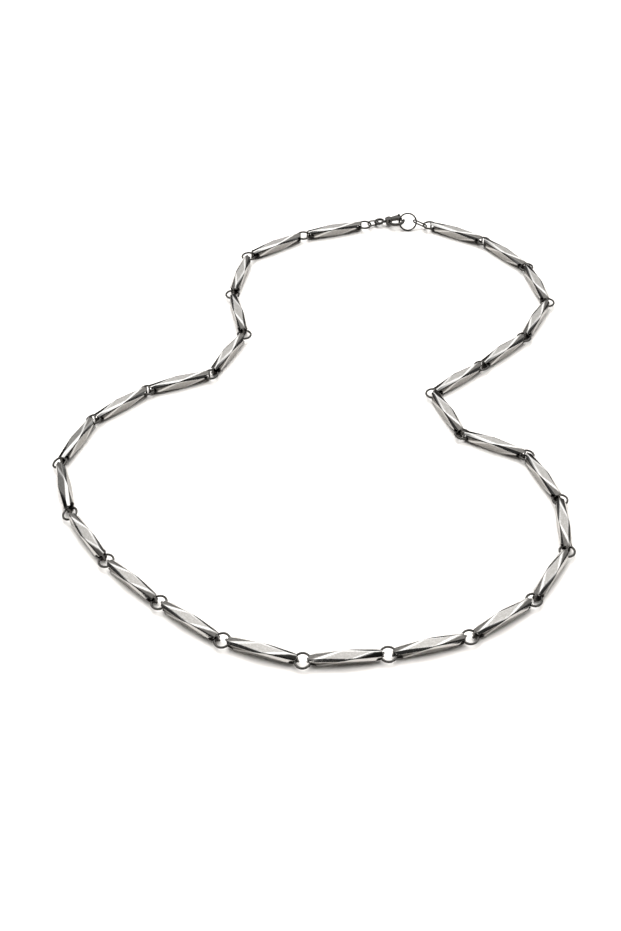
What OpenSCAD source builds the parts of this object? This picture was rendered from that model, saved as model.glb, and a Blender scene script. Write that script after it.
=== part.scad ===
// Faceted bar-link chain necklace, lying closed on a flat surface.
// Twenty-seven hollow bar links are joined by small round rings that lie round a pin in each link's mouth.
// A lobster clasp, a jump ring and two wire connectors close the chain at the back.
// X runs across the loop, Y points to the clasp, Z is up and the surface is at Z = 0.

/* [Bar link] */
// Length of a link between its two rims
link_len = 18; // [14:0.5:24]
// Side of the square section in the middle of a link
mid_side = 3.2; // [2.8:0.1:4]
// Corner bevel of the middle section
mid_cut = 0.15; // [0.05:0.05:0.4]
// Side of the square section at the rims
end_side = 2.6; // [2.5:0.1:3]
// Corner bevel of the rim section
end_cut = 0.4; // [0.2:0.05:0.5]
// Twist of each rim section against a diamond standing on its corner, in degrees
end_twist = 30; // [20:1:44]
// Length of the straight band in the middle and at each rim
band_len = 0.2; // [0.1:0.05:0.5]
// Radius of the bore that runs through a link
bore_r = 1.05; // [0.8:0.05:1.1]
// Height of the slots in both sides of a mouth
slot_h = 1.8; // [1.6:0.1:2]
// Depth of the slots from the rim
slot_depth = 1.8; // [1.5:0.1:2.5]
// Radius of the rims in plan
rim_round = 2.5; // [2.3:0.1:5]
// Distance of a pin from the middle of its link
pin_x = 9.2; // [9.1:0.05:9.4]
// Radius of a pin
pin_r = 0.25; // [0.2:0.05:0.3]
// Radius of the small nose that holds each end of a pin
nose_r = 0.33; // [0.3:0.01:0.35]
// Height of the noses above the axis of the link
nose_top = 1.24; // [1.2:0.01:1.26]

/* [Joint rings] */
// Radius of a joint ring to the middle of its wire
ring_r = 2; // [1.95:0.05:2.2]
// Radius of the ring wire
ring_wire_r = 0.32; // [0.2:0.02:0.32]

/* [Lie of the chain] */
// Place of the first joint across the loop
start_x = 38.5; // [30:0.1:50]
// Place of the first joint towards the back
start_y = 92; // [80:0.1:110]

/* [Clasp] */
// Place of the eyelet along the line from the last joint to the first
eyelet_s = 4.8; // [4:0.1:6]
// Place of the eyelet behind that line
eyelet_t = 2.3; // [1:0.1:3]
// Height of the eyelet's middle above the surface
eyelet_z = 1.4; // [1.3:0.1:1.7]
// Turn of the clasp in plan, in degrees
clasp_yaw = -8; // [-12:1:0]
// Rise of the clasp towards its nose, in degrees
clasp_rise = 8; // [4:1:12]
// Radius of the eyelet to the middle of its stock
eyelet_r = 1.3; // [1.2:0.05:1.5]
// Radius of the eyelet's stock
eyelet_stock_r = 0.45; // [0.35:0.05:0.5]
// Distance from the eyelet to the middle of the hook's bow
bow_x = 5.9; // [5.5:0.1:6.5]
// Radius of the hook's bow to the middle of its stock
bow_r = 2.3; // [2:0.1:2.6]
// Radius of the hook's stock
bow_stock_r = 0.5; // [0.4:0.05:0.6]
// Angle where the bow leaves the shoulder, in degrees
bow_from = 190; // [185:1:200]
// Angle where the bow ends in the nose, in degrees past a full turn
bow_to = 2; // [1:1:5]
// Thickness of the lever
lever_t = 1.1; // [0.8:0.1:1.2]
// Radius of the pin that the lever turns on
hinge_pin_r = 0.2; // [0.15:0.05:0.3]

/* [Jump ring and connectors] */
// Radius of the jump ring to the middle of its wire
jump_r = 2.78; // [2.6:0.02:3]
// Radius of the jump ring's wire
jump_wire_r = 0.275; // [0.2:0.025:0.3]
// Place of the jump ring along the line from the last joint to the first
jump_s = 14.2; // [14:0.1:14.5]
// Place of the jump ring behind that line
jump_t = 0.7; // [0.5:0.1:1.5]
// Lean of the jump ring against the surface, in degrees
jump_lean = 50; // [40:1:60]
// Radius of the inside of a connector's end
oval_in_r = 0.6; // [0.55:0.05:0.8]
// Radius of the connector wire
oval_wire_r = 0.25; // [0.2:0.05:0.3]
// Play of the clasp connector round the wires inside it
clasp_play = 0.14; // [0.12:0.01:0.3]
// Play of the ring connector round the wires inside it
ring_play = 0.45; // [0.3:0.05:0.6]
// Lean of the connector beside the jump ring, in degrees
ring_connector_lean = 25; // [0:5:40]

/* [Hidden] */
$fn = 64;

// How each link lies, in order from the first joint round the front to the last one:
// its heading in degrees, the reach from each joint to its pin in mm, and its roll outwards in degrees
HEAD = 0;
REACH = 1;
ROLL = 2;
lay = [
  [-30, 0.5, 0],
  [-51, 0.5, 0],
  [-77, 0.5, 0],
  [-118, 0.5, 0],
  [-137, 0.5, 0],
  [-141, 0.5, 0],
  [-69, 0.5, 0],
  [-29, 0.5, 0],
  [-69, 0.5, 0],
  [-92, 0.5, 0],
  [-122, 0.8, 4],
  [-145, 1.3, 9],
  [-166, 1.3, 13],
  [-176, 1.3, 22],
  [160, 1.3, 18],
  [141, 1.3, 13],
  [134, 1.3, 10],
  [122, 1.3, 14],
  [103, 1.3, 26],
  [67, 0.8, 12],
  [41, 0.5, 0],
  [20, 0.5, 0],
  [63, 1.3, 0],
  [101, 1.3, 0],
  [77, 1.3, 0],
  [32, 1.3, 0],
  [15, 1.3, 0]
];
link_count = len(lay);

// Joint k lies before link k, so link k runs from joint k to joint k + 1
function heading(k) = [cos(lay[k][HEAD]), sin(lay[k][HEAD])];
function pitch(k) = 2 * (pin_x + lay[k][REACH]);
function joint(k) = k == 0 ? [start_x, start_y] : joint(k - 1) + pitch(k - 1) * heading(k - 1);
joints = [for (k = [0 : link_count]) joint(k)];

// A square section with cut corners, as points across the link; the corner angle runs clockwise from the top
function spread(side, cut) = 45 - atan((side / 2 - cut) / (side / 2));
function corner_r(side, cut) = norm([side / 2, side / 2 - cut]);
function section(side, cut, corner) = [
  for (q = [0 : 3], s = [-1, 1])
    let (a = corner + 90 * q + s * spread(side, cut))
      corner_r(side, cut) * [-sin(a), cos(a)]
];
mid_corner = 45;
near_corner = end_twist;
far_corner = -end_twist;
outline = concat(section(mid_side, mid_cut, mid_corner), section(end_side, end_cut, near_corner),
  section(end_side, end_cut, far_corner));

// Height of a link's axis when the rolled link touches the surface
function rest_height(roll) = max([for (p = outline) p[0] * sin(roll) - p[1] * cos(roll)]);
heights = [for (k = [0 : link_count - 1]) rest_height(lay[k][ROLL])];

// Height and lean of the ring at joint k, between its two links
function before(k) = max(k - 1, 0);
function after(k) = min(k, link_count - 1);
function ring_height(k) = (heights[before(k)] + heights[after(k)]) / 2;
function top(k) = [-sin(lay[k][HEAD]) * sin(lay[k][ROLL]), cos(lay[k][HEAD]) * sin(lay[k][ROLL]),
  cos(lay[k][ROLL])];
function ring_top(k) = top(before(k)) + top(after(k));

// The closing line from the last joint to the first one
closing = joints[0] - joints[link_count];
closing_len = norm(closing);
closing_angle = atan2(closing[1], closing[0]);
jump_z = jump_r * sin(jump_lean) + jump_wire_r;

// Clasp sizes that follow from the others
lever_gap = 0.12;
shoulder = [3.1, 0.3];
shoulder_r = 1.05;
hinge = [3, 0.75];
hub_r = 0.55;
cheek_top = lever_t / 2 + lever_gap + 0.38;
pin_clearance = 0.05;
neck_x = 1.3;
nose_swell = 0.02;
tab = [6.3, 2.75];
tab_r = 0.35;
tab_top = 0.8;
tip = [7.3, 0.95];
tip_r = 0.3;
lever_outline = [[2.9, 1.3], [6.15, 3.06], [6.6, 2.9], [7.57, 1.08], [7.2, 0.67], [5.6, 1], [3.4, 0.38]];
cut_over = 1;

function clasp_point(p) =
  [eyelet_s, eyelet_t, eyelet_z]
  + [cos(clasp_yaw) * cos(clasp_rise), sin(clasp_yaw) * cos(clasp_rise), sin(clasp_rise)] * p[0]
  + [-sin(clasp_yaw), cos(clasp_yaw), 0] * p[1];

// Wires that the connectors hold
eyelet_angle = atan2(eyelet_t, eyelet_s);
left_wire = [ring_r * cos(eyelet_angle), ring_r * sin(eyelet_angle), ring_height(link_count)];
eyelet_wire = clasp_point(-eyelet_r * [cos(eyelet_angle - clasp_yaw), sin(eyelet_angle - clasp_yaw)]);
jump_wire = [jump_s + jump_r, jump_t, jump_z];
right_wire = [closing_len - ring_r, 0, ring_height(0)];

module torus(r, wire_r) {
  rotate_extrude()
    translate([r, 0])
      circle(r = wire_r);
}

module slab(points, x) {
  translate([x - band_len / 2, 0, 0])
    rotate([90, 0, 90])
      linear_extrude(band_len)
        polygon(points);
}

module link_shell() {
  rim_x = (link_len - band_len) / 2;
  hull() {
    slab(section(end_side, end_cut, near_corner), -rim_x);
    slab(section(mid_side, mid_cut, mid_corner), 0);
    slab(section(end_side, end_cut, far_corner), rim_x);
  }
}

module rounded_plan() {
  round_x = link_len / 2 - rim_round;
  for (side = [-1, 1])
    translate([side * round_x, 0, 0])
      cylinder(r = rim_round, h = 2 * mid_side, center = true);
  cube([2 * round_x, 2 * rim_round, 2 * mid_side], center = true);
}

module mouth_slot() {
  round_x = link_len / 2 - slot_depth + slot_h / 2;
  translate([round_x, 0, 0])
    rotate([90, 0, 0])
      cylinder(r = slot_h / 2, h = 2 * mid_side, center = true);
  translate([round_x, -mid_side, -slot_h / 2])
    cube([slot_depth + cut_over, 2 * mid_side, slot_h]);
}

module nose() {
  nose_back = 0.6;
  translate([pin_x, 0, slot_h / 2])
    cylinder(r = nose_r, h = nose_top - slot_h / 2);
  translate([pin_x - nose_back, -nose_r, slot_h / 2])
    cube([nose_back, 2 * nose_r, nose_top - slot_h / 2]);
}

module link_shape() {
  difference() {
    intersection() {
      link_shell();
      rounded_plan();
    }
    rotate([0, 90, 0])
      cylinder(r = bore_r, h = link_len + cut_over, center = true);
    mouth_slot();
    rotate([0, 0, 180])
      mouth_slot();
  }
  for (turn = [0, 180], tip_over = [0, 180])
    rotate([tip_over, 0, turn])
      nose();
  for (side = [-1, 1])
    translate([side * pin_x, 0, 0])
      cylinder(r = pin_r, h = 2 * nose_top - 0.1, center = true);
}

module bar_link(number) {
  k = number - 1;
  middle = (joints[k] + joints[k + 1]) / 2;
  color("silver")
    translate([middle[0], middle[1], heights[k]])
      rotate([0, 0, lay[k][HEAD]])
        rotate([-lay[k][ROLL], 0, 0])
          link_shape();
}

module link_ring(k) {
  up = ring_top(k);
  translate([joints[k][0], joints[k][1], ring_height(k)])
    rotate([0, acos(up[2] / norm(up)), atan2(up[1], up[0])])
      torus(ring_r, ring_wire_r);
}

module joint_rings() {
  color("dimgray")
    for (k = [1 : link_count - 1])
      link_ring(k);
}

module end_ring_left() {
  color("dimgray")
    link_ring(link_count);
}

module end_ring_right() {
  color("dimgray")
    link_ring(0);
}

module closing_frame() {
  translate([joints[link_count][0], joints[link_count][1], 0])
    rotate([0, 0, closing_angle])
      children();
}

module clasp_frame() {
  closing_frame()
    translate([eyelet_s, eyelet_t, eyelet_z])
      rotate([0, -clasp_rise, clasp_yaw])
        children();
}

module oval_wire(p, p_wire_r, q, q_wire_r, play, lean) {
  run = q - p;
  run_len = norm(run);
  mid_r = oval_in_r + oval_wire_r;
  near = oval_in_r - p_wire_r - play;
  far = run_len - (oval_in_r - q_wire_r - play);
  translate(p)
    rotate([lean, -asin(run[2] / run_len), atan2(run[1], run[0])]) {
      for (side = [-1, 1])
        translate([near, 0, side * mid_r])
          rotate([0, 90, 0])
            cylinder(r = oval_wire_r, h = far - near);
      translate([near, 0, 0])
        rotate([90, 90, 0])
          rotate_extrude(angle = -180)
            translate([mid_r, 0])
              circle(r = oval_wire_r);
      translate([far, 0, 0])
        rotate([90, 90, 0])
          rotate_extrude(angle = 180)
            translate([mid_r, 0])
              circle(r = oval_wire_r);
    }
}

module clasp_connector() {
  color("dimgray")
    closing_frame()
      oval_wire(left_wire, ring_wire_r, eyelet_wire, eyelet_stock_r, clasp_play, 0);
}

module ring_connector() {
  color("dimgray")
    closing_frame()
      oval_wire(jump_wire, jump_wire_r, right_wire, ring_wire_r, ring_play, ring_connector_lean);
}

module jump_ring() {
  color("dimgray")
    closing_frame()
      translate([jump_s, jump_t, jump_z])
        rotate([jump_lean, 0, 0])
          torus(jump_r, jump_wire_r);
}

module clasp_shoulder() {
  slot_half = lever_t / 2 + lever_gap;
  slot_floor = hinge[1] - hub_r - lever_gap;
  difference() {
    translate([shoulder[0], shoulder[1], 0])
      cylinder(r = shoulder_r, h = 2 * cheek_top, center = true);
    translate([hinge[0] - hub_r - lever_gap, slot_floor, -slot_half])
      cube([2 * shoulder_r + cut_over, 2 * shoulder_r, 2 * slot_half]);
    translate([hinge[0], hinge[1], 0])
      cylinder(r = hinge_pin_r + pin_clearance, h = 2 * cheek_top + cut_over, center = true);
  }
}

module clasp_body() {
  color("gray")
    clasp_frame() {
      torus(eyelet_r, eyelet_stock_r);
      translate([neck_x, 0, 0])
        rotate([0, 90, 0])
          cylinder(r1 = eyelet_stock_r, r2 = bow_stock_r, h = 0.85);
      clasp_shoulder();
      translate([bow_x, 0, 0])
        rotate([0, 0, bow_from])
          rotate_extrude(angle = 360 + bow_to - bow_from)
            translate([bow_r, 0])
              circle(r = bow_stock_r);
      translate([bow_x + bow_r * cos(bow_to), bow_r * sin(bow_to), 0])
        rotate([0, 0, 45])
          sphere(r = bow_stock_r + nose_swell);
    }
}

module clasp_lever() {
  color("gray")
    clasp_frame()
      difference() {
        union() {
          translate([hinge[0], hinge[1], 0])
            cylinder(r = hub_r, h = lever_t, center = true);
          linear_extrude(lever_t, center = true)
            polygon(lever_outline);
          translate([tab[0], tab[1], 0])
            cylinder(r = tab_r, h = 2 * tab_top, center = true);
          translate([tip[0], tip[1], 0])
            cylinder(r = tip_r, h = lever_t, center = true);
        }
        translate([hinge[0], hinge[1], 0])
          cylinder(r = hinge_pin_r + pin_clearance, h = lever_t + cut_over, center = true);
      }
}

module clasp_pin() {
  color("gray")
    clasp_frame()
      translate([hinge[0], hinge[1], 0])
        cylinder(r = hinge_pin_r, h = 2 * cheek_top, center = true);
}

bar_link(1);  // link_01
bar_link(2);  // link_02
bar_link(3);  // link_03
bar_link(4);  // link_04
bar_link(5);  // link_05
bar_link(6);  // link_06
bar_link(7);  // link_07
bar_link(8);  // link_08
bar_link(9);  // link_09
bar_link(10);  // link_10
bar_link(11);  // link_11
bar_link(12);  // link_12
bar_link(13);  // link_13
bar_link(14);  // link_14
bar_link(15);  // link_15
bar_link(16);  // link_16
bar_link(17);  // link_17
bar_link(18);  // link_18
bar_link(19);  // link_19
bar_link(20);  // link_20
bar_link(21);  // link_21
bar_link(22);  // link_22
bar_link(23);  // link_23
bar_link(24);  // link_24
bar_link(25);  // link_25
bar_link(26);  // link_26
bar_link(27);  // link_27
joint_rings();
end_ring_left();
end_ring_right();
clasp_connector();
clasp_body();
clasp_lever();
clasp_pin();
jump_ring();
ring_connector();
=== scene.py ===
# %% [markdown]
# # A faceted bar-link necklace, dressed for a still picture
# The necklace is a closed loop of 27 hollow steel bars. Small round rings join the bars, and a
# lobster clasp, a jump ring and two wire connectors close the loop. The solids and their places
# come from the construction model. This lesson reads where each one lies and makes the finished
# surface there.

import math

import bmesh
import bpy
import numpy as np
from mathutils import Matrix, Vector


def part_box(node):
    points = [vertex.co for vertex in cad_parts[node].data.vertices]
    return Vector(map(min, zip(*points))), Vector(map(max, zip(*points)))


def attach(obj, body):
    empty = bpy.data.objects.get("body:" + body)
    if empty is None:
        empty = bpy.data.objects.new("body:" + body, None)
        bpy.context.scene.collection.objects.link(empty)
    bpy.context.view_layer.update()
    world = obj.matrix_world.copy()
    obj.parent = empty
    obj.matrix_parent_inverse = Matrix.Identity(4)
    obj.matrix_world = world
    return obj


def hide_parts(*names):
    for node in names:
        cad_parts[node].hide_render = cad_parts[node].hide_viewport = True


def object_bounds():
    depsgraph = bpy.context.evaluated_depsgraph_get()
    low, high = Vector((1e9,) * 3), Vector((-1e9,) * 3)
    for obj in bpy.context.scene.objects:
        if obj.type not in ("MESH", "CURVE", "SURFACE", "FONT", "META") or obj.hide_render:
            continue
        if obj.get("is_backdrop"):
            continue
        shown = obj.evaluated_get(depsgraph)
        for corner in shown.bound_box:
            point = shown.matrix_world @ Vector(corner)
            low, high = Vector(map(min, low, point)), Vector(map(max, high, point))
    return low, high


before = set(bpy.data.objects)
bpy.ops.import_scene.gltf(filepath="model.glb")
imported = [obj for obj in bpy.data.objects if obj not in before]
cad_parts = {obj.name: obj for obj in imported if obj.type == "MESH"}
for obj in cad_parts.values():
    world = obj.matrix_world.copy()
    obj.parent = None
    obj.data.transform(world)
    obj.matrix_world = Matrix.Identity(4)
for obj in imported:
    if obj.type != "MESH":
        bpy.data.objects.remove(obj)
size_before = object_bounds()
MM = 0.001


def add_object(name, data):
    made = bpy.data.objects.new(name, data)
    bpy.context.scene.collection.objects.link(made)
    return made


# %% [markdown]
# ## Reading how a solid lies
# Each bar lies at its own place and turn. Its middle and its three own directions can be read from
# the solid: the middle of its volume, and the directions along which the volume spreads most and
# least. Volume is used and not the corner points, because a mesh has more corners where it curves,
# and these would pull the answer to one side.


# %% Middle and own directions of a solid
def mesh_arrays(mesh):
    mesh.calc_loop_triangles()
    points = np.empty(len(mesh.vertices) * 3)
    mesh.vertices.foreach_get("co", points)
    corners = np.empty(len(mesh.loop_triangles) * 3, dtype=np.int32)
    mesh.loop_triangles.foreach_get("vertices", corners)
    return points.reshape(-1, 3), corners.reshape(-1, 3)


def how_it_lies(points, triangles):
    origin = points[triangles[:, 0]].mean(axis=0)
    a, b, c = (points[triangles[:, i]] - origin for i in range(3))
    share = np.einsum("ij,ij->i", a, np.cross(b, c)) / 6
    volume = share.sum()
    total = a + b + c
    middle = (share[:, None] * total).sum(axis=0) / (4 * volume)
    spread = np.einsum("i,ij,ik->jk", share, total, total)
    for corner in (a, b, c):
        spread += np.einsum("i,ij,ik->jk", share, corner, corner)
    spread = spread / (20 * volume) - np.outer(middle, middle)
    lengths, directions = np.linalg.eigh(spread)
    return middle + origin, directions[:, np.argsort(lengths)[::-1]]


def place_of_bar(node):
    middle, directions = how_it_lies(*mesh_arrays(node.data))
    along = directions[:, 0]
    up = max(directions[:, 1], directions[:, 2], key=lambda d: abs(d[2]))
    up = up * math.copysign(1, up[2])
    across = np.cross(up, along)
    place = Matrix.Identity(4)
    for column, axis in enumerate((along, across, up, middle)):
        for row in range(3):
            place[row][column] = axis[row]
    return place


bar_names = sorted(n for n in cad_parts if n.startswith("link_"))
bar_places = {n: place_of_bar(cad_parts[n]) for n in bar_names}
first = [round(x / MM, 2) for x in bar_places[bar_names[0]].translation]
print("bars:", len(bar_places), "first lies at", first, "mm")

# %% [markdown]
# ## The shell of a bar
# The real bar is a square tube whose ends are twisted a little against its middle, so that each
# side folds into one long lozenge and two triangles. The flat planes of these facets are found by
# drawing a skin tight over three squares. A bevel would leave strips that run into each other at
# the thin tips, so the folds are rounded another way: from the bar's axis one looks out, takes the
# plane that is hit first, and blends it with any other plane that lies close behind. The width of
# the blend follows the steepness of the fold: the four long corners get soft, as on pressed metal,
# and the shallow folds of the lozenges stay crisp.

# %% Sizes of a bar
BAR_LENGTH = 18 * MM
MIDDLE_SIDE = 3.2 * MM
END_SIDE = 2.6 * MM
END_TWIST = 30

# %% [markdown]
# A plane is kept as its direction and its distance from the bar's middle. Hulls are drawn tight
# over points, so the hull of the three squares has the facets as its faces. Faces of the same plane
# are counted once, and the two flat ends are left out.


# %% Planes of the facets
def square(x, side, corner):
    radius = side / math.sqrt(2)
    angles = [math.radians(corner + 90 * quarter) for quarter in range(4)]
    return [(x, -radius * math.sin(a), radius * math.cos(a)) for a in angles]


def facet_planes():
    bm = bmesh.new()
    half = BAR_LENGTH / 2
    left = square(-half, END_SIDE, END_TWIST)
    right = square(half, END_SIDE, -END_TWIST)
    for point in left + square(0, MIDDLE_SIDE, 45) + right:
        bm.verts.new(point)
    bmesh.ops.convex_hull(bm, input=bm.verts)
    bm.normal_update()
    planes = {}
    for face in bm.faces:
        normal = face.normal
        if abs(normal.x) < 0.9:
            planes[tuple(round(v, 4) for v in normal)] = (*normal, normal.dot(face.verts[0].co))
    bm.free()
    return np.array(list(planes.values()))


planes = facet_planes()
print("facets of a bar:", len(planes))

# %% [markdown]
# The blend is full where two planes meet at nearly a right angle, and much narrower where they meet
# at a shallow one. A very narrow blend gets little of the painted highlight: it is only a line.

# %% Rounded skin of the bar
MIDDLE_ROUNDING = 1.05 * MM
END_ROUNDING = 1.8 * MM
FULL_BLEND_FROM = 0.9
CRISPNESS = 2
NARROW = 0.05 * MM
SKIN_DEPTH = 0.08 * MM
TINY = 1e-6
steepness = np.linalg.norm(np.cross(planes[:, None, :3], planes[None, :, :3]), axis=2)
blend = np.minimum(steepness / FULL_BLEND_FROM, 1) ** CRISPNESS + TINY


def skin_at(x, angle):
    """How far the skin lies from the axis, how rounded it is (0 to 1), and if it is a lozenge."""
    y, z = math.cos(angle), math.sin(angle)
    slope = planes[:, 1] * y + planes[:, 2] * z
    ahead = slope > TINY
    reach = np.where(ahead, (planes[:, 3] - planes[:, 0] * x) / np.where(ahead, slope, 1), 1)
    first = reach.argmin()
    soft = MIDDLE_ROUNDING + (END_ROUNDING - MIDDLE_ROUNDING) * abs(x) / (BAR_LENGTH / 2)
    width = soft * blend[first]
    near = np.maximum(width - (reach - reach[first]), 0)
    near[first] = 0
    # The rounding becomes a painted highlight: the material lightens the base colour where this
    # value is large.
    bend = near / width * np.minimum(width / NARROW, 1)
    lozenge = abs(planes[first, 0]) < 0.01
    return reach[first] - (near * near / (4 * width)).max(), bend.max(), lozenge


def painted_light_and_finish_at(point):
    """How much painted highlight the rounded skin gets, and how far it is a lozenge with brush
    lines and a painted pale colour, from 0 to 1. Both are 0 inside the mouths.
    """
    reach, bend, lozenge = skin_at(point[0], math.atan2(point[2], point[1]))
    if math.hypot(point[1], point[2]) < reach - SKIN_DEPTH:
        return 0, 0
    return bend, (1 - bend) * lozenge


# %% [markdown]
# The net of points has the folds as its own lines. One side of one half of the bar is a field
# between two corners of the end and two corners of the middle. Its fold is the diagonal from the
# near corner of the end to the far corner of the middle. The same steps are taken along and across,
# so the diagonal runs from point to point. The steps are a mix of even ones and of ones that are
# short near the corners, where the skin bends.

# %% Net over the eight fields
STEPS = 28
EVEN = 0.45
SAME_POINT = 0.0001 * MM


def rounded(point):
    angle = math.atan2(point[2], point[1])
    reach = skin_at(point[0], angle)[0]
    return Vector((point[0], reach * math.cos(angle), reach * math.sin(angle)))


def add_field(bm, end, middle, near, far):
    steps = [i / STEPS for i in range(STEPS + 1)]
    steps = [EVEN * t + (1 - EVEN) * (0.5 - 0.5 * math.cos(math.pi * t)) for t in steps]
    grid = []
    for along in steps:
        row = []
        for across in steps:
            if across <= along:
                point = end[near] + along * (middle[near] - end[near])
                point = point + across * (middle[far] - middle[near])
            else:
                point = end[far] + along * (middle[far] - end[far])
                point = point + (1 - across) * (end[near] - end[far])
            row.append(bm.verts.new(rounded(point)))
        grid.append(row)
    for i in range(STEPS):
        for j in range(STEPS):
            a, b, c, d = grid[i][j], grid[i][j + 1], grid[i + 1][j + 1], grid[i + 1][j]
            fields = [(a, b, c), (a, c, d)] if i == j else [(a, b, c, d)]
            for field in fields:
                bm.faces.new(field)


def shell_mesh():
    bm = bmesh.new()
    half = BAR_LENGTH / 2
    middle = [Vector(p) for p in square(0, MIDDLE_SIDE, 45)]
    left = [Vector(p) for p in square(-half, END_SIDE, END_TWIST)]
    right = [Vector(p) for p in square(half, END_SIDE, 90 - END_TWIST)]
    for q in range(4):
        n = (q + 1) % 4
        add_field(bm, left, middle, n, q)
        add_field(bm, right, middle, q, n)
    bmesh.ops.remove_doubles(bm, verts=bm.verts, dist=SAME_POINT)
    rims = [e for e in bm.edges if e.is_boundary]
    bmesh.ops.edgeloop_fill(bm, edges=rims)
    bmesh.ops.recalc_face_normals(bm, faces=bm.faces)
    mesh = bpy.data.meshes.new("bar_shell")
    bm.to_mesh(mesh)
    bm.free()
    return mesh


shell = add_object("bar_shell", shell_mesh())
print("shell faces:", len(shell.data.polygons))

# %% [markdown]
# ## The mouths
# Each end of a bar is cut open from both sides, so that a ring can pass between the two lips, and a
# pin across the mouth holds the ring. Boolean modifiers cut the bore and the slots as a cutter
# would. The rounded plan takes the corners off the lips. The bore and the slots get a second
# material, whose dark base colour is painted shade for the little light that reaches into the
# mouths.

# %% Sizes of the mouths, the pins and the cutters
BORE = 1.05 * MM
SLOT_HEIGHT = 1.8 * MM
SLOT_DEPTH = 1.8 * MM
RIM_ROUND = 2.5 * MM
PIN_AT = 9.2 * MM
PIN_RADIUS = 0.25 * MM
NOSE_RADIUS = 0.33 * MM
NOSE_TOP = 1.24 * MM
CUTTER_HALF = 4 * MM
CUTTER_END = 12 * MM

# %% [markdown]
# A cutter is a flat outline that is drawn out into a block, or for the bore a plain rod. It
# reaches past the bar on all sides, so that it leaves no thin skin. Every face of a cutter carries
# the number of the material that the cut gets from it.


# %% Cutters
def tool(name, shape, inside=1):
    bm = bmesh.new()
    shape(bm)
    for face in bm.faces:
        # Index 1 is the material with the painted shade of the mouths.
        face.material_index = inside
    mesh = bpy.data.meshes.new(name)
    bm.to_mesh(mesh)
    bm.free()
    return add_object(name, mesh)


def pull(bm, face, by):
    """Draw a face out into a closed block."""
    drawn = bmesh.ops.extrude_face_region(bm, geom=[face])["geom"]
    ends = [v for v in drawn if isinstance(v, bmesh.types.BMVert)]
    bmesh.ops.translate(bm, vec=by, verts=ends)
    bmesh.ops.recalc_face_normals(bm, faces=bm.faces)


def half_turn(start, steps):
    """Angles over half a turn, from a start in degrees."""
    return [math.radians(start + 180 * step / steps) for step in range(steps + 1)]


def plan(bm):
    x = BAR_LENGTH / 2 - RIM_ROUND
    outline = []
    for side, start in ((1, -90), (-1, 90)):
        for a in half_turn(start, 24):
            outline.append((side * x + RIM_ROUND * math.cos(a), RIM_ROUND * math.sin(a)))
    base = bm.faces.new([bm.verts.new((x, y, -CUTTER_HALF)) for x, y in outline])
    pull(bm, base, (0, 0, 2 * CUTTER_HALF))


def bore(bm):
    along = Matrix.Rotation(math.pi / 2, 4, "Y")
    size = {"radius1": BORE, "radius2": BORE, "depth": BAR_LENGTH + 2 * MM}
    bmesh.ops.create_cone(bm, cap_ends=True, segments=40, matrix=along, **size)


def slot(bm, side):
    round_x = BAR_LENGTH / 2 - SLOT_DEPTH + SLOT_HEIGHT / 2
    half = SLOT_HEIGHT / 2
    outline = [(CUTTER_END, -half), (CUTTER_END, half)]
    for a in half_turn(90, 16):
        outline.append((round_x + half * math.cos(a), half * math.sin(a)))
    wall = bm.faces.new([bm.verts.new((side * x, -CUTTER_HALF, z)) for x, z in outline])
    pull(bm, wall, (0, 2 * CUTTER_HALF, 0))


# %% [markdown]
# The shell and the cutters are closed, so the exact solver gives clean edges. The result is taken
# as a mesh of its own, and the cutters go.


# %% Cut the mouths
def boolean(target, other, operation):
    step = target.modifiers.new(other.name, "BOOLEAN")
    step.object = other
    step.operation = operation
    step.solver = "EXACT"


cutters = [
    (tool("plan", plan, inside=0), "INTERSECT"),
    (tool("bore", bore), "DIFFERENCE"),
    (tool("slot_right", lambda bm: slot(bm, 1)), "DIFFERENCE"),
    (tool("slot_left", lambda bm: slot(bm, -1)), "DIFFERENCE"),
]
for cutter, operation in cutters:
    boolean(shell, cutter, operation)


def worked_mesh(o):
    """The mesh of an object after its modifiers."""
    bpy.context.view_layer.update()
    return bpy.data.meshes.new_from_object(o.evaluated_get(bpy.context.evaluated_depsgraph_get()))


cut_mesh = worked_mesh(shell)
for cutter, operation in cutters:
    bpy.data.objects.remove(cutter)
print("faces of the cut bar:", len(cut_mesh.polygons))
print("faces inside the mouths:", sum(p.material_index for p in cut_mesh.polygons))

# %% [markdown]
# ## Lips
# Filed metal never ends in a razor edge, so the cut edges of the lips are broken a little. A bevel
# modifier finds them by their angle.

# %% Break the cut edges
LIP_ROUNDING = 0.05 * MM
SHARP = math.radians(35)
shell.modifiers.clear()
shell.data = cut_mesh
broken = shell.modifiers.new("broken_edges", "BEVEL")
broken.limit_method = "ANGLE"
broken.angle_limit = SHARP
broken.width = LIP_ROUNDING
broken.segments = 2
broken.use_clamp_overlap = False
bar_mesh = worked_mesh(shell)
bpy.data.objects.remove(shell)
print("faces with broken edges:", len(bar_mesh.polygons))

# %% [markdown]
# ## Pins
# A pin crosses each mouth, and the ring hangs on it. Its ends sit in small round noses on the lips.
# The photograph doesn't show them, so they are as plain as they can be: rods with a narrow chamfer,
# drawn straight into the bar's mesh.

# %% Pins and noses
NOSE_EDGE = 0.05 * MM
PIN_EDGE = 0.03 * MM
PIN_SUNK = 0.02 * MM
SHADE_SHARP = math.radians(40)


def rounded_rod(bm, radius, half, edge, steps=24):
    profile = [(radius - edge, -half), (radius, edge - half)]
    profile += [(radius, half - edge), (radius - edge, half)]
    turn = [2 * math.pi * s / steps for s in range(steps)]
    loops = []
    for r, z in profile:
        loops.append([bm.verts.new((r * math.cos(a), r * math.sin(a), z)) for a in turn])
    for low, high in zip(loops, loops[1:]):
        for s in range(steps):
            bm.faces.new((low[s], low[(s + 1) % steps], high[(s + 1) % steps], high[s]))
    bm.faces.new(loops[0][::-1])
    bm.faces.new(loops[-1])
    return [v for loop in loops for v in loop]


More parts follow.
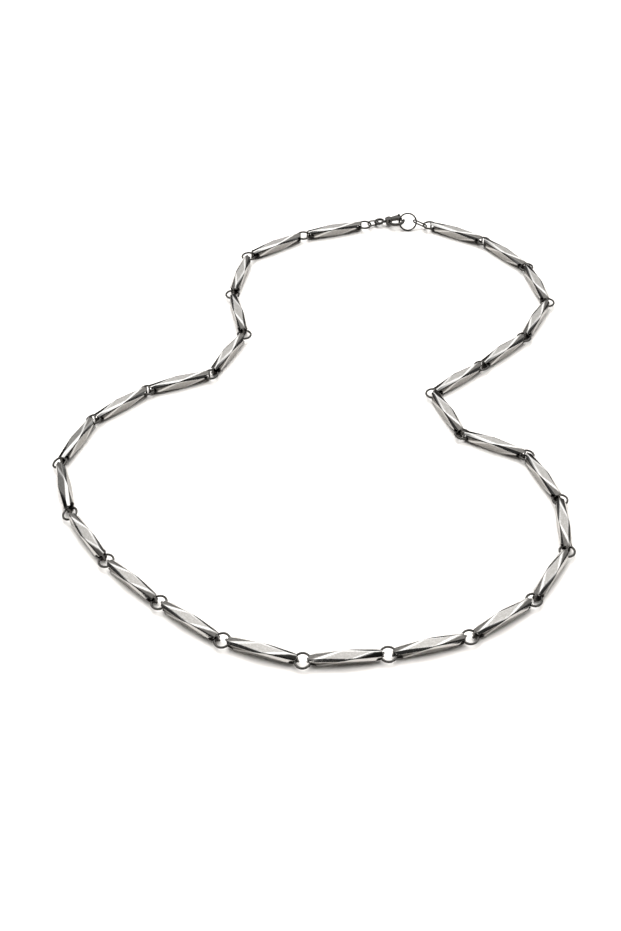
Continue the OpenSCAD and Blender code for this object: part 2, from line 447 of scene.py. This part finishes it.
bm = bmesh.new()
bm.from_mesh(bar_mesh)
for side in (-1, 1):
    pin = rounded_rod(bm, PIN_RADIUS, NOSE_TOP - PIN_SUNK, PIN_EDGE)
    bmesh.ops.translate(bm, vec=(side * PIN_AT, 0, 0), verts=pin)
    for over in (-1, 1):
        height = NOSE_TOP - SLOT_HEIGHT / 2
        nose = rounded_rod(bm, NOSE_RADIUS, height / 2, NOSE_EDGE)
        middle = over * (SLOT_HEIGHT / 2 + height / 2)
        bmesh.ops.translate(bm, vec=(side * PIN_AT, 0, middle), verts=nose)
for face in bm.faces:
    face.smooth = True
bm.to_mesh(bar_mesh)
bm.free()
bar_mesh.name = "bar"
bar_mesh.set_sharp_from_angle(angle=SHADE_SHARP)
print("faces of the finished bar:", len(bar_mesh.polygons))

# %% [markdown]
# ## One bar for all
# Each point of the mesh keeps how much painted highlight and how much brush finish with painted
# pale colour it gets, for the material to read. All 27 bars share this one mesh, each at its own
# place, which keeps the file small.

# %% Painted light and finish of each point, and all bars at their places
painted_light_and_finish = np.array([painted_light_and_finish_at(vertex.co) for vertex in bar_mesh.vertices], dtype=float)
for name, values in (("worn", painted_light_and_finish[:, 0]), ("brushed", painted_light_and_finish[:, 1])):
    bar_mesh.attributes.new(name, "FLOAT", "POINT").data.foreach_set("value", values)
print("points that are worn more than half:", int((painted_light_and_finish[:, 0] > 0.5).sum()), "of", len(painted_light_and_finish))

bars = {}
for name, place in bar_places.items():
    bar = add_object("bar_" + name[-2:], bar_mesh)
    bar.matrix_world = place
    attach(bar, "chain")
    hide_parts(name)
    bars[name] = bar

# %% [markdown]
# A finished bar should fill nearly the same box as its solid. Its rounded corners lie a little
# inside, so a bar that lies rolled on a corner stands a hair above the ground. The boxes tell that
# a bar has the right place and length. They don't tell a quarter turn about its own axis, which
# leaves the outline of the skin as it is.

# %% How well the bars stand where the solids stand
bpy.context.view_layer.update()
inside_by, past_by = 0, 0
for name, bar in bars.items():
    points = np.array([bar.matrix_world @ v.co for v in bar_mesh.vertices])
    low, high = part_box(name)
    margins = np.concatenate([points.min(axis=0) - low, np.array(high) - points.max(axis=0)])
    inside_by, past_by = max(inside_by, margins.max()), max(past_by, -margins.min())
print("farthest inside a solid's box:", round(inside_by / MM, 3), "mm")
print("farthest past a solid's box:", round(past_by / MM, 3), "mm")

# %% [markdown]
# ## Rings of round wire
# A joint ring is a turn of round wire. The solids of all 26 lie in one node, so they are sorted out
# by where they are. Each ring is then turned anew with a finer, even surface at the same place.

# %% Sort out the joint rings and turn them anew
RING_RADIUS = 2 * MM
WIRE_RADIUS = 0.32 * MM
ONE_RING = 7 * MM


def loose_solids(mesh, reach):
    points, triangles = mesh_arrays(mesh)
    centres = points[triangles].mean(axis=1)
    left = np.arange(len(triangles))
    while len(left):
        near = np.linalg.norm(centres[left] - centres[left[0]], axis=1) < reach
        yield points, triangles[left[near]]
        left = left[~near]


def torus_mesh(name, radius, wire, around=56, across=14):
    bm = bmesh.new()
    grid = []
    for i in range(around):
        a = 2 * math.pi * i / around
        row = []
        for j in range(across):
            b = 2 * math.pi * j / across
            r = radius + wire * math.cos(b)
            row.append(bm.verts.new((r * math.cos(a), r * math.sin(a), wire * math.sin(b))))
        grid.append(row)
    for i in range(around):
        for j in range(across):
            nxt, up = (i + 1) % around, (j + 1) % across
            face = bm.faces.new((grid[i][j], grid[nxt][j], grid[nxt][up], grid[i][up]))
            face.smooth = True
    mesh = bpy.data.meshes.new(name)
    bm.to_mesh(mesh)
    bm.free()
    return mesh


joint_ring = torus_mesh("joint_ring", RING_RADIUS, WIRE_RADIUS)
rings = []
for points, triangles in loose_solids(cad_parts["joint_rings"].data, ONE_RING):
    middle, directions = how_it_lies(points, triangles)
    axis = Vector(directions[:, 2])
    ring = add_object(f"joint_ring_{len(rings) + 1:02d}", joint_ring)
    turn = axis.to_track_quat("Z", "Y").to_matrix().to_4x4()
    ring.matrix_world = Matrix.Translation(Vector(middle)) @ turn
    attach(ring, "chain")
    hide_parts("joint_rings")
    rings.append(ring)
print("joint rings:", len(rings))

# %% [markdown]
# ## The steel
# The lozenges read as finished with brush lines and the triangles beside them as polished, and the
# roughness follows this. A face with brush lines gathers light from all around and stays pale, and
# a polished one mirrors single things and looks darker. The base colour paints this light and shade
# in as well: pale on the lozenges and dark on the triangles. The rounded corners get a painted
# highlight, a brighter base colour. A few small functions make the nodes that the materials share.


# %% Nodes that the materials share
def new_material(name):
    material = bpy.data.materials.new(name)
    material.use_nodes = True
    tree = material.node_tree
    shader = tree.nodes["Principled BSDF"]
    return material, tree, shader


def grain(tree, stretch, detail=4):
    place = tree.nodes.new("ShaderNodeTexCoord")
    scale = tree.nodes.new("ShaderNodeMapping")
    scale.inputs["Scale"].default_value = stretch
    noise = tree.nodes.new("ShaderNodeTexNoise")
    noise.inputs["Scale"].default_value = 1
    noise.inputs["Detail"].default_value = detail
    tree.links.new(place.outputs["Object"], scale.inputs["Vector"])
    tree.links.new(scale.outputs["Vector"], noise.inputs["Vector"])
    return noise


def spread(tree, source, low, high):
    step = tree.nodes.new("ShaderNodeMapRange")
    step.inputs["From Min"].default_value = 0.3
    step.inputs["From Max"].default_value = 0.7
    step.inputs["To Min"].default_value = low
    step.inputs["To Max"].default_value = high
    tree.links.new(source, step.inputs["Value"])
    return step.outputs["Result"]


def bump(tree, source, shader, depth, strength):
    step = tree.nodes.new("ShaderNodeBump")
    step.inputs["Distance"].default_value = depth
    step.inputs["Strength"].default_value = strength
    tree.links.new(source, step.inputs["Height"])
    tree.links.new(step.outputs["Normal"], shader.inputs["Normal"])


def carried(tree, name):
    value = tree.nodes.new("ShaderNodeAttribute")
    value.attribute_name = name
    return value.outputs["Fac"]


def multiply_add(tree, value, factor, other):
    step = tree.nodes.new("ShaderNodeMath")
    step.operation = "MULTIPLY_ADD"
    step.inputs[1].default_value = factor
    tree.links.new(value, step.inputs[0])
    tree.links.new(other, step.inputs[2])
    return step.outputs["Value"]


# %% [markdown]
# The material reads from the mesh how much painted highlight and how much brush finish with painted
# pale colour each point gets. Object coordinates run along each bar, so a noise that is stretched
# along X gives every bar its own lengthwise grain, which moves the base colour, the roughness and
# the height a little. The base colours are fitted to the photograph in this room, and are darker
# than steel's own.

# %% Brushed and polished steel of the bars, with painted light and shade in its base colour
satin, tree, shader = new_material("satin_steel_painted_light")
shader.inputs["Metallic"].default_value = 1
lines = grain(tree, (1500, 3800, 3800))
polish = spread(tree, lines.outputs["Fac"], 0.09, 0.17)
rough = multiply_add(tree, carried(tree, "brushed"), 0.2, polish)
tree.links.new(rough, shader.inputs["Roughness"])
bump(tree, lines.outputs["Fac"], shader, 0.01 * MM, 0.6)
# Base colour with painted light and shade: the dark end is painted shade on the polished triangles,
# the middle is pale on the lozenges, and the bright end is a painted highlight on the rounded
# corners. The grain moves it a little.
grain_and_painted_tone = tree.nodes.new("ShaderNodeValToRGB")
grain_and_painted_tone.color_ramp.elements[0].position = 0.2
grain_and_painted_tone.color_ramp.elements[0].color = (0.06, 0.057, 0.053, 1)
grain_and_painted_tone.color_ramp.elements[1].color = (0.45, 0.442, 0.43, 1)
# The painted pale colour of the lozenges.
pale = grain_and_painted_tone.color_ramp.elements.new(0.75)
pale.color = (0.25, 0.241, 0.228, 1)
# Mask of the painted light: one half on the lozenges, full where the corners get the painted
# highlight.
painted_light_mask = multiply_add(tree, carried(tree, "brushed"), 0.5, carried(tree, "worn"))
tree.links.new(multiply_add(tree, lines.outputs["Fac"], 0.5, painted_light_mask), grain_and_painted_tone.inputs["Fac"])
tree.links.new(grain_and_painted_tone.outputs["Color"], shader.inputs["Base Color"])

# %% [markdown]
# Little light comes back out of a narrow bore, and no tool polishes it. Its metal is rough, and its
# dark base colour is painted shade.

# %% Painted shade inside the mouths
inside, tree, shader = new_material("painted_shade_inside")
shader.inputs["Metallic"].default_value = 1
# The dark base colour is painted shade.
shader.inputs["Base Color"].default_value = (0.06, 0.055, 0.05, 1)
cloud = grain(tree, (2500, 2500, 2500), detail=3)
tree.links.new(spread(tree, cloud.outputs["Fac"], 0.45, 0.7), shader.inputs["Roughness"])
for material in (satin, inside):
    bar_mesh.materials.append(material)

# %% [markdown]
# ## Darker steel
# Rings, clasp and connectors are polished: round wire mirrors all of the room at once, a thin light
# line on top and dark sides. A dark base and a low roughness give that.

# %% Polished dark steel of wires and clasp
polished, tree, shader = new_material("polished_steel")
shader.inputs["Metallic"].default_value = 1
shader.inputs["Base Color"].default_value = (0.07, 0.067, 0.063, 1)
cloud = grain(tree, (1500, 1500, 1500), detail=2)
tree.links.new(spread(tree, cloud.outputs["Fac"], 0.06, 0.12), shader.inputs["Roughness"])
joint_ring.materials.append(polished)

ring_names = ("end_ring_left", "end_ring_right", "jump_ring")
connector_names = ("clasp_connector", "ring_connector")
clasp_names = ("clasp_body", "clasp_lever", "clasp_pin")
for name in ring_names + connector_names + clasp_names:
    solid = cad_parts[name]
    solid.data.materials.clear()
    solid.data.materials.append(polished)
print("materials:", [m.name for m in bpy.data.materials if m.users])

# %% [markdown]
# ## Floor
# The picture shows the chain on a plain white ground. Here it is a wide sheet of paper, a hair
# under the lowest links.

# %% Floor
FLOOR_HALF = 20
UNDER_THE_CHAIN = 0.02 * MM
bm = bmesh.new()
bmesh.ops.create_grid(bm, x_segments=1, y_segments=1, size=FLOOR_HALF)
floor_mesh = bpy.data.meshes.new("floor")
bm.to_mesh(floor_mesh)
bm.free()
floor = add_object("floor", floor_mesh)
floor.location.z = -UNDER_THE_CHAIN
floor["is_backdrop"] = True
paper, tree, shader = new_material("white_paper")
shader.inputs["Base Color"].default_value = (0.93, 0.9, 0.865, 1)
shader.inputs["Roughness"].default_value = 0.9
shader.inputs["Specular IOR Level"].default_value = 0.1
floor_mesh.materials.append(paper)

# %% [markdown]
# ## Room
# Metal shows what it mirrors. A wide pale ceiling light reaches from a little before the zenith far
# to the back. Its front border is sharp: a face that leans a little more to the viewer mirrors the
# dark side of the room and is nearly black, which draws a black line on every corner. The light is
# the product of three ramps, over the angle from the zenith, from the right and from the back. The
# first is divided by the room's full brightness, so that it stays between 0 and 1, and the strength
# brings it back.

# %% Room: brightness by the angle from a direction, in degrees
BY_HEIGHT = [(0, 3.2), (20, 3.0), (40, 2.7), (56, 2.4), (62, 1.1), (66, 0.4), (72, 0.1), (90, 0)]
BY_SIDE = [(0, 0.05), (38, 0.1), (50, 0.6), (62, 0.9), (70, 1)]
BY_SIDE += [(110, 1), (118, 0.9), (130, 0.6), (142, 0.1)]
BY_DEPTH = [(0, 1), (102, 1), (107, 0.3), (113, 0.08), (122, 0), (180, 0)]
DARK_ROOM = 0.05
FULL = 3.5
world = bpy.data.worlds.new("room")
bpy.context.scene.world = world
world.use_nodes = True
tree = world.node_tree
backdrop = tree.nodes["Background"]
ways = tree.nodes.new("ShaderNodeTexCoord")


def bright(direction, steps, full=1):
    """A ramp over the cosine of the angle between a way of looking and a direction."""
    product = tree.nodes.new("ShaderNodeVectorMath")
    product.operation = "DOT_PRODUCT"
    product.inputs[1].default_value = direction
    tree.links.new(ways.outputs["Generated"], product.inputs[0])
    span = tree.nodes.new("ShaderNodeMapRange")
    span.inputs["From Min"].default_value = -1
    tree.links.new(product.outputs["Value"], span.inputs["Value"])
    ramp = tree.nodes.new("ShaderNodeValToRGB")
    stops = ramp.color_ramp.elements
    for i, (angle, brightness) in enumerate(reversed(steps)):
        at = 0.5 + 0.5 * math.cos(math.radians(angle))
        stop = stops[i] if i < 2 else stops.new(at)
        stop.position = at
        stop.color = (*[brightness / full] * 3, 1)
    tree.links.new(span.outputs["Result"], ramp.inputs["Fac"])
    return ramp.outputs["Color"]


def times(one, two):
    step = tree.nodes.new("ShaderNodeVectorMath")
    step.operation = "MULTIPLY"
    tree.links.new(one, step.inputs[0])
    tree.links.new(two, step.inputs[1])
    return step.outputs["Vector"]


ceiling = bright((0, 0, 1), BY_HEIGHT, FULL)
for direction, steps in (((1, 0, 0), BY_SIDE), ((0, 1, 0), BY_DEPTH)):
    ceiling = times(ceiling, bright(direction, steps))
lit = tree.nodes.new("ShaderNodeVectorMath")
lit.operation = "ADD"
lit.inputs[1].default_value = [DARK_ROOM / FULL] * 3
tree.links.new(ceiling, lit.inputs[0])
tree.links.new(lit.outputs["Vector"], backdrop.inputs["Color"])
backdrop.inputs["Strength"].default_value = FULL

# %% [markdown]
# ## Lights
# The soft grey shadow lies on the near side, so the main light comes from above and behind. A wide
# sun gives the shadow its soft border, and a weak disc overhead lifts it. The metal doesn't mirror
# either of them.

# %% Soft key light from behind and a wide fill from above
KEY_SHINES = Vector((0.1, -0.55, -0.83))
FILL_HEIGHT = 1
key_data = bpy.data.lights.new("key_light", "SUN")
key_data.energy = 1.6
key_data.angle = math.radians(38)
key = add_object("key_light", key_data)
key.rotation_euler = KEY_SHINES.to_track_quat("-Z", "Y").to_euler()
key.visible_glossy = False
fill_data = bpy.data.lights.new("fill_light", "AREA")
fill_data.shape = "DISK"
fill_data.size = 2
fill_data.energy = 2
fill = add_object("fill_light", fill_data)
fill.location.z = FILL_HEIGHT
fill.visible_glossy = False

# %% [markdown]
# ## Camera
# The photograph looks down at about 42 degrees from the horizon with a long lens, and it is turned
# a little about its own line of sight.

# %% Camera at the photograph's angle
LENS_PX = 1600
PICTURE_HEIGHT_PX = 931
ELEVATION = math.radians(42.42)
ROLL = math.radians(-1.24)
DISTANCE = 441.6 * MM
TARGET = Vector((-2.47, -24.09, 1.6)) * MM
camera_data = bpy.data.cameras.new("camera")
camera_data.sensor_width = 36
camera_data.lens = LENS_PX / PICTURE_HEIGHT_PX * camera_data.sensor_width
camera_data.clip_start = 0.01
camera = add_object("camera", camera_data)
ahead = Vector((0, math.cos(ELEVATION), -math.sin(ELEVATION)))
right = Vector((1, 0, 0))
up = Vector((0, math.sin(ELEVATION), math.cos(ELEVATION)))
right_rolled = right * math.cos(ROLL) + up * math.sin(ROLL)
up_rolled = up * math.cos(ROLL) - right * math.sin(ROLL)
turn = Matrix((right_rolled, up_rolled, -ahead)).transposed().to_4x4()
camera.matrix_world = Matrix.Translation(TARGET - ahead * DISTANCE) @ turn
bpy.context.scene.camera = camera
bpy.context.scene.view_settings.view_transform = "Standard"

# %% [markdown]
# ## Sizes
# Both boxes are written down to compare them. Each piece counts here with the box in its own
# directions. The bars lie turned, so the second box comes out a few tenths of a millimetre wider
# than the finished pieces are.

# %% Sizes before and after, and the end
size_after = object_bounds()
for name, (low, high) in (("before", size_before), ("after", size_after)):
    print(name, [round(x / MM, 2) for x in low], [round(x / MM, 2) for x in high])
